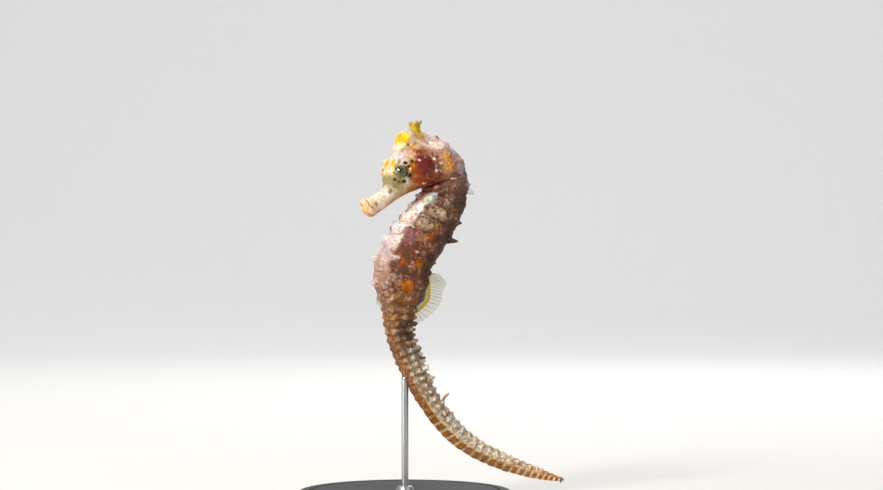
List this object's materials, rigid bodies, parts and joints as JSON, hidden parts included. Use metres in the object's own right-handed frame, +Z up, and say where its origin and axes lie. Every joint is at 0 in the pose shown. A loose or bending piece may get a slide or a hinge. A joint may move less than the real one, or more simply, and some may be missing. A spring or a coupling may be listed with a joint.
{
  "type": "seahorse model",
  "caption": "Life-size seahorse in an upright swimming pose, tail trailing back, with crown, fins and ringed armour, held by a slim rod on a round flat base.",
  "frame": {"origin": "middle of the flat underside of the stand's base", "axes": "+Z up, from the base to the crown; the left side of the animal faces mainly -Y, the belly faces between -X and -Y, and the tail trails towards +X"},
  "size_m": [0.0745, 0.06, 0.1088],
  "materials": {
    "skin": "living skin over bony rings, cream to rust brown, mottled",
    "fin": "thin translucent membrane with yellow rays",
    "eye": "wet, glossy",
    "base": "black satin lacquer",
    "rod": "fine brushed"
  },
  "bodies": {
    "root": {"snout": "skin", "head": "skin", "gill_cover_left": "skin", "gill_cover_right": "skin", "coronet": "skin", "eye_left": "eye", "eye_right": "eye", "neck": "skin", "trunk_upper": "skin", "trunk_middle": "skin", "trunk_lower": "skin", "tail_1": "skin", "tail_2": "skin", "tail_3": "skin", "tail_4": "skin", "tail_5": "skin", "tail_6": "skin", "dorsal_fin": "fin", "anal_fin": "fin", "pectoral_fin_left": "fin", "pectoral_fin_right": "fin", "stand_base": "base", "stand_rod": "rod"}
  },
  "joints": []
}
